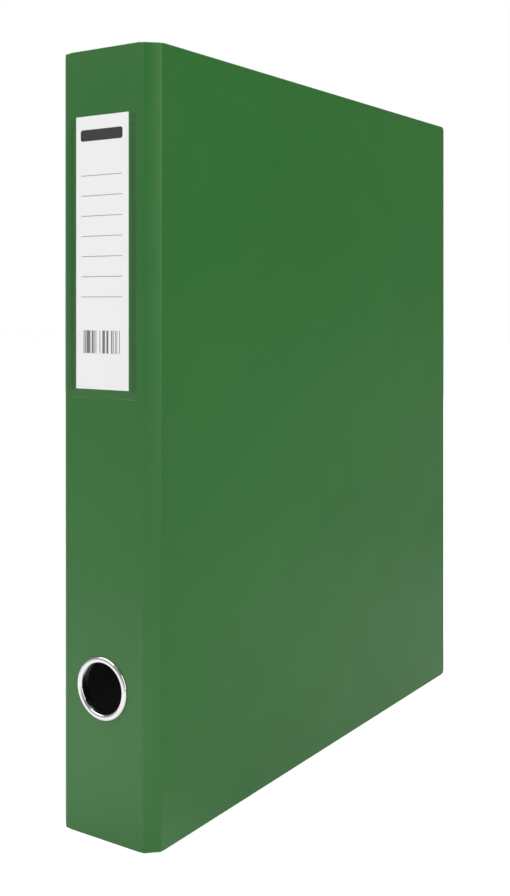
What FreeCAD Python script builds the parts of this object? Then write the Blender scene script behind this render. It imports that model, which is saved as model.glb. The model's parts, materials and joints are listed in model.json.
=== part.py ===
"""Narrow A4 lever arch file, standing upright and closed, in millimetres.

+Z is up. X is the thickness, with the front cover at +X, and Y is the depth, with the spine at -Y.
The case is five links: back cover, rear hinge strip, spine, front hinge strip and front cover.
The lever arch mechanism is riveted to the inside of the back cover.
"""
import FreeCAD, Part
import math
import os

# ---------------------------------------------------------------- driving dimensions
# case
HEIGHT = 318.0
DEPTH = 276.0
THICKNESS = 50.0
SPINE_WIDTH = 40.4
BOARD = 1.9                      # greyboard
FOIL = 0.3                       # polypropylene foil on the outside, turned in round the free edges
LINING = 0.25                    # lining paper on the inside
TURN_IN = 15.0                   # width of the foil turned over on the inside
LINING_MARGIN = 3.0              # the lining stops this far inside a free edge
CORNER = 2.5                     # corner radius of every panel
FOIL_ROUND = 0.25                # the foil's rounding along the outer edges
STRIP_SHORT = 0.35               # a hinge strip ends this far below a panel's end
FOLD_GAP = 0.12                  # between a strip and the fold line beside it

# spine fittings
RING_HEIGHT = 60.8               # centre of the finger ring above the bottom edge
RING_OFFSET = -1.0               # and beside the spine's middle
RING_BORE = 10.25                # radius
RING_FLANGE = 12.8               # outer radius of the flange
RING_DOME = 0.95                 # the flange's height over the foil
RING_SHOULDER = 0.67             # height of its shoulders
RING_CROWN = 0.51                # radial half width of its crown
RING_WALL = 0.5
RING_LIP = 1.3                   # the clinched lip's width over the washer
WASHER_RIM = 3.0                 # the washer's width
WASHER = 0.5                     # its thickness
RING_PLAY = 0.05                 # between the ring's throat and its hole

LABEL_WIDTH = 27.3
LABEL_LENGTH = 110.3
LABEL_TOP = 291.1                # height of the label's top edge
LABEL_OFFSET = -0.95             # the label's middle beside the spine's middle
LABEL = 0.2                      # card
POCKET_FILM = 0.2
POCKET_PLAY = 0.4                # round the label
POCKET_SLACK = 0.05              # between the label and the film over it
SEAM_WIDTH = 3.2                 # of the pocket's welded side seams
BOTTOM_SEAM = 3.6                # of its bottom seam

# mechanism, placed from the spine's outer face, the lining's face and the file's middle height
HOLE_SPACING = 80.0              # between the two arches
WIRE = 1.7                       # radius of the arch wire
WIRE_FROM_SPINE = 33.0           # the wire's turning axis
WIRE_ABOVE = 1.0                 # between the lining and the wire's underside
ARCH_SPAN = 25.0                 # from the turning axis to the posts
TIP_HEIGHT = 24.6                # of the posts above the lining
LEG_BEND = 3.5                   # bend radius where an arch meets the turning axis
CRANK = 5.5                      # the crank's offset from the turning axis
CRANK_HALF = 9.0                 # half the length of its straight rod
NIB_BASE = 1.0                   # the conical nib on each arch's tip
NIB_END = 0.25
NIB_LENGTH = 1.2
TIP_GAP = 0.1                    # between an arch's tip and its post

POST = 2.0                       # radius
POST_BORE = 1.5
POST_BORE_DEPTH = 6.0
POST_SHOULDER = 3.5
POST_SHANK = 1.6
POST_CHAMFER = 0.2
SHOULDER_HEIGHT = 1.2

SHEET = 0.8                      # of the base plate
PLATE_LENGTH = 140.0
PLATE_WIDTH = 42.0
PLATE_TO_WIRE = 8.0              # from the plate's spine-side edge to the turning axis
PLATE_CORNER = 6.0
BRIDGE_CENTRE = 26.0             # the bridges over the wire, from the middle
BRIDGE_LENGTH = 10.0
RUNNING_FIT = 0.06               # radial, of every turning fit
BEAD = 1.9                       # outer radius of the pressed beads
BEAD_INSET = 3.0                 # from the plate's long edges
BEAD_SHORT = 14.0                # from its short edges
RIVET_INSET = 6.0                # of the rivets' centres from the plate's ends
RIVET_SIDE = 5.0                 # and from its long edges
RIVET_SHANK = 2.0
RIVET_PLAY = 0.05
RIVET_HEAD = 4.0                 # radius of the outer head
RIVET_DOME = 0.9
RIVET_FLANGE = 3.2               # radius of the inner flange
RIVET_FLANGE_HEIGHT = 0.7

SPRING_WIRE = 0.35               # radius
SPRING_PLAY = 0.2                # between coil and arch wire
SPRING_TURNS = 4
SPRING_PITCH = 1.0
SPRING_STEPS = 12                # straight lengths in a turn
SPRING_START = 16.2              # first coil from the middle
SPRING_LEG = 5.3                 # of the leg under the crank's arm
SPRING_ARM = 3.25                # from the turning axis to that leg
WINDOW_SIDE = 0.3                # of the plate's window round the spring
WINDOW_FAR = 0.8                 # and beyond its leg

ROLLER = 2.6                     # radius
ROLLER_HALF = 5.6                # half its length
ROLLER_PIN = 1.2
ROLLER_GAP = 0.18                # between the roller and the crank at rest
ROLLER_ARM = 5.5                 # from the lever's axle to the roller's pin
ROLLER_ANGLE = -110.0            # direction of that arm at rest, from the posts' side

AXLE = 1.5
AXLE_HEAD = 2.5
AXLE_HEAD_HEIGHT = 1.0
AXLE_HEAD_CHAMFER = 0.3
CHEEK = 1.0                      # the lever's sheet
CHEEK_INSIDE = 6.0               # from the middle to the inside of its cheeks
CHEEK_EYE = 3.4                  # its rounding about the axle
CHEEK_NOSE = 2.3                 # and about the roller's pin
CHEEK_LENGTH = 21.0
CHEEK_END = 1.0                  # radius of the cheeks' far end
LEVER_LENGTH = 32.0
LEVER_TIP_RISE = 2.6             # the upturned tip above the axle
LEVER_DIP = 1.25                 # the web's lowest top line
TAB_HALF = 10.0                  # half the width of the lever's tip
TAB_CORNER = 6.0
TAB_START = 15.0                 # where the lever starts to widen
TAB_FLARE = 7.0

EAR = 1.2                        # the bracket's sheet
EAR_GAP = 0.3                    # between an ear and the lever's cheek
EAR_EYE = 4.0
EAR_CLEAR = 0.7                  # between the bracket's foot and the crank
EAR_STEP = 2.0                   # height of an ear's front over the turning axis
EAR_BACK = 3.6                   # and of its back over the plate
EAR_CORNER = 1.0
NECK_ANGLE = 45.0                # where an ear's neck passes round the crank
NECK_CUT = 0.1                   # taken off the neck towards the spine
NECK_LIFT = 0.4
FOOT_WIDTH = 7.1
BRACKET_RIVET = 1.0
BRACKET_RIVET_HEAD = 1.7
BRACKET_RIVET_DOME = 0.7
BRACKET_RIVET_SPACING = 8.0

BAR_LENGTH = 120.0
BAR_WIDTH = 18.0
BAR_SHEET = 1.0
BAR_FLANGE = 2.0                 # height of its turned-up edges over the web
BAR_END = 5.0                    # corner radius of its ends
BAR_LIFT = 0.6                   # of the bar over the posts' shoulders
SLOT_WIDTH = 7.0
SLOT_LENGTH = 12.0
SLOT_CORNER = 3.4

CUT = 1.0                        # how far a cutting shape runs past what it cuts

# ---------------------------------------------------------------- worked out from them
HALF_T = THICKNESS / 2
HALF_D = DEPTH / 2
HALF_S = SPINE_WIDTH / 2
MIDDLE = HEIGHT / 2
STRIP_RUN = HALF_T - HALF_S                       # a hinge strip's reach along X and along Y
STRIP_WIDTH = STRIP_RUN * math.sqrt(2)
COVER_WIDTH = DEPTH - STRIP_RUN
INNER_FACE = FOIL + BOARD + LINING                # depth of the lining's face in a panel
PANEL = FOIL + BOARD + FOIL + LINING              # depth over the turned-in foil
RING_HOLE = RING_BORE + RING_WALL + RING_PLAY
RIVET_HOLE = RIVET_SHANK + RIVET_PLAY

WIRE_HEIGHT = WIRE_ABOVE + WIRE                   # the turning axis above the lining
POST_LINE = WIRE_FROM_SPINE + ARCH_SPAN           # the posts from the spine's outer face
LEG = HOLE_SPACING / 2
ROLLER_Y = WIRE_FROM_SPINE + CRANK
ROLLER_H = WIRE_HEIGHT + WIRE + ROLLER + ROLLER_GAP
ARM_Y = ROLLER_ARM * math.cos(math.radians(ROLLER_ANGLE))
ARM_H = ROLLER_ARM * math.sin(math.radians(ROLLER_ANGLE))
AXLE_Y = ROLLER_Y - ARM_Y
AXLE_H = ROLLER_H - ARM_H
CHEEK_OUTSIDE = CHEEK_INSIDE + CHEEK
EAR_INSIDE = CHEEK_OUTSIDE + EAR_GAP
EAR_OUTSIDE = EAR_INSIDE + EAR
PLATE_Y = WIRE_FROM_SPINE - PLATE_TO_WIRE
SHOULDER_TOP = SHEET + SHOULDER_HEIGHT

Z_AXIS = FreeCAD.Vector(0, 0, 1)
X_AXIS = FreeCAD.Vector(1, 0, 0)
Y_AXIS = FreeCAD.Vector(0, 1, 0)


# ---------------------------------------------------------------- helpers
def inside(from_spine, above, z=0.0):
    """A place in the mechanism: from the spine's outer face, above the lining, over the middle."""
    return FreeCAD.Vector(-HALF_T + INNER_FACE + above, -HALF_D + from_spine, MIDDLE + z)


def outline(corners, place):
    """Face inside rounded corners (a, b, radius), where place(a, b) is a point in space."""
    starts, ends, middles = [], [], []
    for i, (a, b, radius) in enumerate(corners):
        before = corners[i - 1]
        after = corners[(i + 1) % len(corners)]
        to_before = FreeCAD.Vector(before[0] - a, before[1] - b, 0).normalize()
        to_after = FreeCAD.Vector(after[0] - a, after[1] - b, 0).normalize()
        corner = FreeCAD.Vector(a, b, 0)
        half = to_before.getAngle(to_after) / 2
        along = radius / math.tan(half)
        centre = corner + (to_before + to_after).normalize() * (radius / math.sin(half))
        starts.append(corner + to_before * along)
        ends.append(corner + to_after * along)
        middles.append(centre + (corner - centre).normalize() * radius if radius else None)
    edges = []
    for i, middle in enumerate(middles):
        if middle is not None:
            arc = [place(p.x, p.y) for p in (starts[i], middle, ends[i])]
            edges.append(Part.Arc(*arc).toShape())
        following = starts[(i + 1) % len(starts)]
        if (following - ends[i]).Length > 1e-6:
            edges.append(Part.makeLine(place(ends[i].x, ends[i].y), place(following.x, following.y)))
    return Part.Face(Part.Wire(edges))


def link(centre_a, radius_a, centre_b, radius_b, place, extent):
    """Plate round two circles and the lines that touch both, pushed out along extent."""
    a = FreeCAD.Vector(centre_a[0], centre_a[1], 0)
    b = FreeCAD.Vector(centre_b[0], centre_b[1], 0)
    heading = math.atan2(b.y - a.y, b.x - a.x)
    spread = math.acos((radius_a - radius_b) / (b - a).Length)

    def on(centre, radius, angle):
        return place(centre.x + radius * math.cos(angle), centre.y + radius * math.sin(angle))

    upper, lower = heading + spread, heading - spread
    edges = [
        Part.Arc(on(a, radius_a, upper), on(a, radius_a, heading + math.pi), on(a, radius_a, lower)).toShape(),
        Part.makeLine(on(a, radius_a, lower), on(b, radius_b, lower)),
        Part.Arc(on(b, radius_b, lower), on(b, radius_b, heading), on(b, radius_b, upper)).toShape(),
        Part.makeLine(on(b, radius_b, upper), on(a, radius_a, upper)),
    ]
    return Part.Face(Part.Wire(edges)).extrude(extent)


def mech_box(y0, y1, h0, h1, z0, z1):
    """Box in the mechanism's own measures."""
    corner = inside(y0, h0, z0)
    return Part.makeBox(h1 - h0, y1 - y0, z1 - z0, corner)


def upright(radius, height, from_spine, above, z):
    """Cylinder standing away from the lining."""
    return Part.makeCylinder(radius, height, inside(from_spine, above, z), X_AXIS)


def lengthways(radius, half, from_spine, above):
    """Cylinder along the file's height, centred on the middle."""
    return Part.makeCylinder(radius, 2 * half, inside(from_spine, above, -half), Z_AXIS)


def revolve(corners, axis_point, axis, side):
    """Ring turned from (radius, along) corners about axis; side is the radial direction."""
    points = [axis_point + side * radius + axis * along for radius, along in corners]
    face = Part.Face(Part.makePolygon(points + points[:1]))
    return face.revolve(axis_point, axis, 360)


def export(shape, node):
    shape.exportStep("parts/" + node + ".step")


# ---------------------------------------------------------------- the case
def slab(u0, u1, z0, z1, v0, v1, corner):
    """Rounded rectangle in a panel's own frame: u along it, v inward from its outer face."""
    corners = [(u0, z0, corner), (u1, z0, corner), (u1, z1, corner), (u0, z1, corner)]
    face = outline(corners, lambda a, b: FreeCAD.Vector(a, v0, b))
    return face.extrude(FreeCAD.Vector(0, v1 - v0, 0))


def panel_pieces(width, free_low, free_high):
    """Board, foil and lining of one panel. free_low and free_high say which ends aren't folds."""
    low_turn = TURN_IN if free_low else 0.0
    high_turn = TURN_IN if free_high else 0.0
    board = slab(FOIL, width - FOIL, FOIL, HEIGHT - FOIL, FOIL, FOIL + BOARD, CORNER - FOIL)

    outer = slab(0, width, 0, HEIGHT, 0, FOIL + BOARD + FOIL, CORNER)
    rim = [e for e in outer.Edges if e.BoundBox.YMax < 1e-6]
    outer = outer.makeChamfer(FOIL_ROUND, rim)
    open_low = low_turn if free_low else -CUT
    open_high = width - high_turn if free_high else width + CUT
    window = Part.makeBox(open_high - open_low, FOIL + CUT, HEIGHT - 2 * TURN_IN,
                          FreeCAD.Vector(open_low, FOIL + BOARD, TURN_IN))
    wrap = outer.cut(board).cut(window)

    low = LINING_MARGIN if free_low else FOLD_GAP
    high = width - (LINING_MARGIN if free_high else FOLD_GAP)
    sheet = slab(low, high, LINING_MARGIN, HEIGHT - LINING_MARGIN, FOIL + BOARD, PANEL, CORNER)
    dip_low = low_turn + LINING if free_low else -CUT
    dip_high = width - high_turn - LINING if free_high else width + CUT
    dip = Part.makeBox(dip_high - dip_low, CUT, HEIGHT - 2 * (TURN_IN + LINING),
                       FreeCAD.Vector(dip_low, INNER_FACE, TURN_IN + LINING))
    lining = sheet.cut(wrap).cut(dip)
    return {"board": board, "wrap": wrap, "lining": lining}


def strip_pieces():
    """Film and lining of a hinge strip, in the strip's own frame, with mitred long edges."""
    def layer(v0, v1):
        corners = [(FOLD_GAP + v0, v0), (STRIP_WIDTH - FOLD_GAP - v0, v0),
                   (STRIP_WIDTH - FOLD_GAP - v1, v1), (FOLD_GAP + v1, v1)]
        points = [FreeCAD.Vector(u, v, STRIP_SHORT) for u, v in corners]
        face = Part.Face(Part.makePolygon(points + points[:1]))
        return face.extrude(FreeCAD.Vector(0, 0, HEIGHT - 2 * STRIP_SHORT))
    return {"film": layer(0, FOIL), "lining": layer(FOIL, FOIL + LINING)}


def placed(shape, x, y, turn):
    """A panel or strip put where its own origin belongs, turned about Z."""
    copy = shape.copy()
    copy.Placement = FreeCAD.Placement(FreeCAD.Vector(x, y, 0), FreeCAD.Rotation(Z_AXIS, turn))
    return copy


def rivet_places():
    near = PLATE_Y + RIVET_SIDE
    far = PLATE_Y + PLATE_WIDTH - RIVET_SIDE
    z = PLATE_LENGTH / 2 - RIVET_INSET
    return [(y, side * z) for y in (near, far) for side in (-1, 1)]


def case():
    covers = {
        "back": (panel_pieces(COVER_WIDTH, True, False), -HALF_T, HALF_D, -90),
        "spine": (panel_pieces(SPINE_WIDTH, False, False), -HALF_S, -HALF_D, 0),
        "front": (panel_pieces(COVER_WIDTH, False, True), HALF_T, -HALF_D + STRIP_RUN, 90),
    }
    through = -HALF_T - CUT
    depth = PANEL + 2 * CUT
    rivet_holes = [Part.makeCylinder(RIVET_HOLE, depth,
                                     FreeCAD.Vector(through, -HALF_D + y, MIDDLE + z), X_AXIS)
                   for y, z in rivet_places()]
    ring_hole = Part.makeCylinder(RING_HOLE, depth,
                                  FreeCAD.Vector(RING_OFFSET, -HALF_D - CUT, RING_HEIGHT), Y_AXIS)
    holes = {"back": rivet_holes, "spine": [ring_hole], "front": []}
    for name, (pieces, x, y, turn) in covers.items():
        for layer, shape in pieces.items():
            piece = placed(shape, x, y, turn)
            for hole in holes[name]:
                piece = piece.cut(hole)
            export(piece, name + "_" + layer)
    for name, x, y, turn in (("rear_hinge", -HALF_T, -HALF_D + STRIP_RUN, -45),
                             ("front_hinge", HALF_S, -HALF_D, 45)):
        for layer, shape in strip_pieces().items():
            export(placed(shape, x, y, turn), name + "_" + layer)


# ---------------------------------------------------------------- on the spine
def finger_ring():
    """Domed flange outside, throat through the spine, lip clinched over a washer inside."""
    centre = FreeCAD.Vector(RING_OFFSET, -HALF_D, RING_HEIGHT)
    washer_face = INNER_FACE + WASHER
    throat = RING_BORE + RING_WALL
    lip_end = washer_face + RING_WALL

    crown = (RING_BORE + RING_FLANGE) / 2
    profile = [(RING_FLANGE, 0), (crown + RING_CROWN, -RING_SHOULDER), (crown, -RING_DOME),
               (crown - RING_CROWN, -RING_SHOULDER), (RING_BORE, 0), (RING_BORE, lip_end),
               (throat + RING_LIP, lip_end), (throat + RING_LIP, washer_face),
               (throat, washer_face), (throat, 0)]
    ring = revolve(profile, centre, Y_AXIS, X_AXIS)
    export(ring, "finger_ring")
    washer = revolve([(RING_HOLE, INNER_FACE), (RING_HOLE + WASHER_RIM, INNER_FACE),
                      (RING_HOLE + WASHER_RIM, washer_face), (RING_HOLE, washer_face)],
                     centre, Y_AXIS, X_AXIS)
    export(washer, "finger_ring_washer")


def label_and_pocket():
    """Card label in a clear pocket that is welded to the spine on three sides and open at the top."""
    half = LABEL_WIDTH / 2
    bottom = LABEL_TOP - LABEL_LENGTH
    label = Part.makeBox(LABEL_WIDTH, LABEL, LABEL_LENGTH,
                         FreeCAD.Vector(LABEL_OFFSET - half, -HALF_D - LABEL, bottom))
    export(label, "spine_label")
    room_half = half + POCKET_PLAY
    room_depth = LABEL + POCKET_SLACK
    room_bottom = bottom - POCKET_PLAY
    seam = Part.makeBox(2 * (room_half + SEAM_WIDTH), POCKET_FILM, LABEL_TOP - room_bottom + BOTTOM_SEAM,
                        FreeCAD.Vector(LABEL_OFFSET - room_half - SEAM_WIDTH, -HALF_D - POCKET_FILM,
                                       room_bottom - BOTTOM_SEAM))
    cover_half = room_half + POCKET_FILM
    cover = Part.makeBox(2 * cover_half, room_depth + POCKET_FILM, LABEL_TOP - room_bottom + POCKET_FILM,
                         FreeCAD.Vector(LABEL_OFFSET - cover_half, -HALF_D - room_depth - POCKET_FILM,
                                        room_bottom - POCKET_FILM))
    room = Part.makeBox(2 * room_half, room_depth, LABEL_LENGTH + BOTTOM_SEAM,
                        FreeCAD.Vector(LABEL_OFFSET - room_half, -HALF_D - room_depth, room_bottom))
    export(seam.fuse(cover).cut(room), "spine_pocket")


# ---------------------------------------------------------------- the mechanism's fixed pieces
def bead(from_spine):
    """Hollow rib pressed up along the plate, with round ends."""
    half = PLATE_LENGTH / 2 - BEAD_SHORT
    shells = []
    for radius in (BEAD, BEAD - SHEET):
        rod = lengthways(radius, half, from_spine, 0)
        for side in (-1, 1):
            rod = rod.fuse(Part.makeSphere(radius, inside(from_spine, 0, side * half)))
        shells.append(rod)
    above = mech_box(from_spine - BEAD, from_spine + BEAD, 0, BEAD, -half - BEAD, half + BEAD)
    return shells[0].common(above), shells[1].common(above)


def bridge(z):
    """Sheet pressed up over the wire as a bearing, with the room inside it."""
    solids = []
    for radius in (WIRE + RUNNING_FIT + SHEET, WIRE + RUNNING_FIT):
        tube = Part.makeCylinder(radius, BRIDGE_LENGTH,
                                 inside(WIRE_FROM_SPINE, WIRE_HEIGHT, z - BRIDGE_LENGTH / 2), Z_AXIS)
        sides = mech_box(WIRE_FROM_SPINE - radius, WIRE_FROM_SPINE + radius, 0, WIRE_HEIGHT,
                         z - BRIDGE_LENGTH / 2, z + BRIDGE_LENGTH / 2)
        keep = mech_box(WIRE_FROM_SPINE - radius, WIRE_FROM_SPINE + radius, 0, WIRE_HEIGHT + radius,
                        z - BRIDGE_LENGTH / 2, z + BRIDGE_LENGTH / 2)
        solids.append(tube.fuse(sides).common(keep))
    return solids


def spring_radius():
    return WIRE + SPRING_PLAY + SPRING_WIRE


def spring_window(side):
    """Opening in the plate under a spring and the leg that lifts the crank's arm."""
    reach = spring_radius() + SPRING_WIRE + WINDOW_SIDE
    leg = SPRING_START - SPRING_LEG - SPRING_WIRE - WINDOW_SIDE
    last = SPRING_START + SPRING_TURNS * SPRING_PITCH + SPRING_WIRE + WINDOW_SIDE
    far = WIRE_FROM_SPINE + SPRING_ARM + SPRING_WIRE + WINDOW_FAR
    low, high = sorted((side * leg, side * last))
    return mech_box(WIRE_FROM_SPINE - reach, far, 0, SHEET, low, high)


def base_plate():
    """Stamped plate: two beads, two bearing bridges, windows for the springs and rivet holes."""
    half = PLATE_LENGTH / 2
    edge = PLATE_Y + PLATE_WIDTH
    corners = [(PLATE_Y, -half, PLATE_CORNER), (edge, -half, PLATE_CORNER),
               (edge, half, PLATE_CORNER), (PLATE_Y, half, PLATE_CORNER)]
    plate = outline(corners, lambda y, z: inside(y, 0, z)).extrude(X_AXIS * SHEET)
    solid, rooms = [], []
    for y in (PLATE_Y + BEAD_INSET, edge - BEAD_INSET):
        over, under = bead(y)
        solid.append(over)
        rooms.append(under)
    for side in (-1, 1):
        over, under = bridge(side * BRIDGE_CENTRE)
        solid.append(over)
        rooms.append(under)
        rooms.append(spring_window(side))
        rooms.append(upright(POST_SHANK, SHEET, POST_LINE, 0, side * LEG))
        rooms.append(upright(BRACKET_RIVET, SHEET, foot_middle(), 0, side * BRACKET_RIVET_SPACING / 2))
    for y, z in rivet_places():
        rooms.append(upright(RIVET_HOLE, SHEET, y, 0, z))
    plate = plate.fuse(solid)
    for room in rooms:
        plate = plate.cut(room)
    export(plate.removeSplitter(), "base_plate")


def mechanism_rivets():
    """Four rivets through the back cover, domed outside and flanged over the base plate."""
    rivets = []
    for y, z in rivet_places():
        foot = inside(y, -INNER_FACE, z)
        shank = Part.makeCylinder(RIVET_SHANK, INNER_FACE + SHEET, foot, X_AXIS)
        flange = Part.makeCone(RIVET_FLANGE, RIVET_FLANGE - RIVET_FLANGE_HEIGHT / 2, RIVET_FLANGE_HEIGHT,
                               inside(y, SHEET, z), X_AXIS)
        dome = Part.makeCone(RIVET_HEAD, RIVET_HEAD - 2 * RIVET_DOME, RIVET_DOME, foot, X_AXIS * -1)
        rivets.append(shank.fuse([flange, dome]).removeSplitter())
    export(Part.makeCompound(rivets), "mechanism_rivets")


def rim_edge(shape, direction):
    """The circular edge that lies furthest along direction."""
    circles = [e for e in shape.Edges if isinstance(e.Curve, Part.Circle)]
    return max(circles, key=lambda e: e.Curve.Center.dot(direction))


def posts():
    """Tubular posts on shoulders, with a socket for the arch's nib."""
    for node, side in (("post_upper", 1), ("post_lower", -1)):
        z = side * LEG
        tube = upright(POST, TIP_HEIGHT - SHOULDER_TOP, POST_LINE, SHOULDER_TOP, z)
        tube = tube.makeChamfer(POST_CHAMFER, [rim_edge(tube, X_AXIS)])
        shoulder = upright(POST_SHOULDER, SHOULDER_HEIGHT, POST_LINE, SHEET, z)
        shank = upright(POST_SHANK, SHEET, POST_LINE, 0, z)
        socket = upright(POST_BORE, POST_BORE_DEPTH, POST_LINE, TIP_HEIGHT - POST_BORE_DEPTH, z)
        export(tube.fuse([shoulder, shank]).cut(socket).removeSplitter(), node)


def foot_start():
    return WIRE_FROM_SPINE + CRANK + WIRE + EAR_CLEAR


def foot_middle():
    return foot_start() + FOOT_WIDTH / 2


def lever_bracket():
    """Bent bracket: a foot on the plate and two ears that hold the lever's axle."""
    near, far = foot_start(), foot_start() + FOOT_WIDTH
    clear = CRANK + WIRE + EAR_CLEAR
    neck = math.radians(NECK_ANGLE)
    neck_y = WIRE_FROM_SPINE + clear * math.cos(neck) - NECK_CUT
    neck_h = WIRE_HEIGHT + clear * math.sin(neck) + NECK_LIFT
    corners = [(near, SHEET, 0), (far, SHEET, 0), (far, SHEET + EAR_BACK, EAR_CORNER),
               (AXLE_Y + EAR_EYE, AXLE_H, 0), (AXLE_Y - EAR_EYE, AXLE_H, 0),
               (neck_y, neck_h, 0), (near, WIRE_HEIGHT + EAR_STEP, 0)]
    foot = mech_box(near, far, SHEET, SHEET + EAR, -EAR_OUTSIDE, EAR_OUTSIDE)
    bracket = foot
    for low in (-EAR_OUTSIDE, EAR_INSIDE):
        ear = outline(corners, lambda y, h: inside(y, h, low)).extrude(Z_AXIS * EAR)
        eye = Part.makeCylinder(EAR_EYE, EAR, inside(AXLE_Y, AXLE_H, low), Z_AXIS)
        bracket = bracket.fuse([ear, eye])
    bracket = bracket.cut(lengthways(AXLE, EAR_OUTSIDE, AXLE_Y, AXLE_H))
    for side in (-1, 1):
        hole = upright(BRACKET_RIVET, EAR, foot_middle(), SHEET, side * BRACKET_RIVET_SPACING / 2)
        bracket = bracket.cut(hole)
    export(bracket.removeSplitter(), "lever_bracket")

    rivets = []
    for side in (-1, 1):
        z = side * BRACKET_RIVET_SPACING / 2
        shank = upright(BRACKET_RIVET, SHEET + EAR, foot_middle(), 0, z)
        head = Part.makeCone(BRACKET_RIVET_HEAD, BRACKET_RIVET, BRACKET_RIVET_DOME,
                             inside(foot_middle(), SHEET + EAR, z), X_AXIS)
        rivets.append(shank.fuse(head).removeSplitter())
    export(Part.makeCompound(rivets), "bracket_rivets")

    axle = lengthways(AXLE, EAR_OUTSIDE + AXLE_HEAD_HEIGHT, AXLE_Y, AXLE_H)
    for low in (-EAR_OUTSIDE - AXLE_HEAD_HEIGHT, EAR_OUTSIDE):
        head = Part.makeCylinder(AXLE_HEAD, AXLE_HEAD_HEIGHT, inside(AXLE_Y, AXLE_H, low), Z_AXIS)
        outer = rim_edge(head, Z_AXIS * (1 if low > 0 else -1))
        axle = axle.fuse(head.makeChamfer(AXLE_HEAD_CHAMFER, [outer]))
    export(axle.removeSplitter(), "lever_axle")


def arch_springs():
    """Two torsion springs on the wire, each with a leg under the crank and one in the plate."""
    radius = spring_radius()
    top = SPRING_START + SPRING_TURNS * SPRING_PITCH
    low = WIRE_HEIGHT - radius
    steps = SPRING_TURNS * SPRING_STEPS
    turn = [math.pi + 2 * math.pi * i / SPRING_STEPS for i in range(steps + 1)]
    axis = inside(WIRE_FROM_SPINE, WIRE_HEIGHT, SPRING_START)
    route = [axis + FreeCAD.Vector(radius * math.cos(a), radius * math.sin(a),
                                   SPRING_PITCH * i / SPRING_STEPS) for i, a in enumerate(turn)]
    sixths = [2 * math.pi * i / 6 for i in range(7)]
    section = Part.makePolygon([route[0] + FreeCAD.Vector(math.cos(a), 0, math.sin(a)) * SPRING_WIRE
                                for a in sixths])
    coil = Part.makePolygon(route).makePipeShell([section], True, True, 1)

    arm = WIRE_FROM_SPINE + SPRING_ARM
    corner = inside(arm, low, SPRING_START)
    start = inside(WIRE_FROM_SPINE, low, SPRING_START)
    across = Part.makeCylinder(SPRING_WIRE, arm - WIRE_FROM_SPINE, start, Y_AXIS)
    under = Part.makeCylinder(SPRING_WIRE, SPRING_LEG, corner, Z_AXIS * -1)
    anchor = Part.makeCylinder(SPRING_WIRE, radius, inside(WIRE_FROM_SPINE, low, top), Y_AXIS * -1)
    knee = Part.makeSphere(SPRING_WIRE, corner)
    upper = coil.fuse([across, under, anchor, knee])
    lower = upper.mirror(FreeCAD.Vector(0, 0, MIDDLE), Z_AXIS)
    export(Part.makeCompound([upper, lower]), "arch_springs")


# ---------------------------------------------------------------- its moving pieces
def wire_run(start, end):
    """Straight length of the arch wire."""
    return Part.makeCylinder(WIRE, (end - start).Length, start, end - start)


def wire_bend(start, heading, centre, axis, angle):
    """Bent length of the arch wire, turned about centre from the round section at start."""
    section = Part.Face(Part.Wire(Part.makeCircle(WIRE, start, heading)))
    return section.revolve(centre, axis, angle)


def arch_side(side):
    """One arch, its leg and its end of the crank, as runs and bends of the wire."""
    foot = WIRE_FROM_SPINE
    tip = TIP_HEIGHT + TIP_GAP
    leg = side * LEG
    bend = side * (LEG - LEG_BEND)
    turn = CRANK / 2
    crank_start = side * (CRANK_HALF + CRANK)
    knee = side * (CRANK_HALF + turn)
    arch_top = inside(foot, tip, leg)
    leg_end = inside(foot, WIRE_HEIGHT + LEG_BEND, leg)
    return [
        wire_bend(inside(POST_LINE, tip, leg), X_AXIS, inside(foot + ARCH_SPAN / 2, tip, leg),
                  Z_AXIS * -1, 180),
        wire_run(arch_top, leg_end),
        wire_bend(leg_end, X_AXIS, inside(foot, WIRE_HEIGHT + LEG_BEND, bend), Y_AXIS * -side, 90),
        wire_run(inside(foot, WIRE_HEIGHT, bend), inside(foot, WIRE_HEIGHT, crank_start)),
        wire_bend(inside(foot, WIRE_HEIGHT, crank_start), Z_AXIS,
                  inside(foot + turn, WIRE_HEIGHT, crank_start), X_AXIS * side, 90),
        wire_bend(inside(foot + turn, WIRE_HEIGHT, knee), Y_AXIS,
                  inside(foot + turn, WIRE_HEIGHT, side * CRANK_HALF), X_AXIS * -side, 90),
        Part.makeCone(NIB_BASE, NIB_END, NIB_LENGTH, inside(POST_LINE, tip, leg), X_AXIS * -1),
    ]


def arch_wire():
    """Both arches and the crank between them, bent from one wire, with a nib on each tip."""
    rod = lengthways(WIRE, CRANK_HALF, WIRE_FROM_SPINE + CRANK, WIRE_HEIGHT)
    export(rod.fuse(arch_side(1) + arch_side(-1)), "arch_wire")


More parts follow.
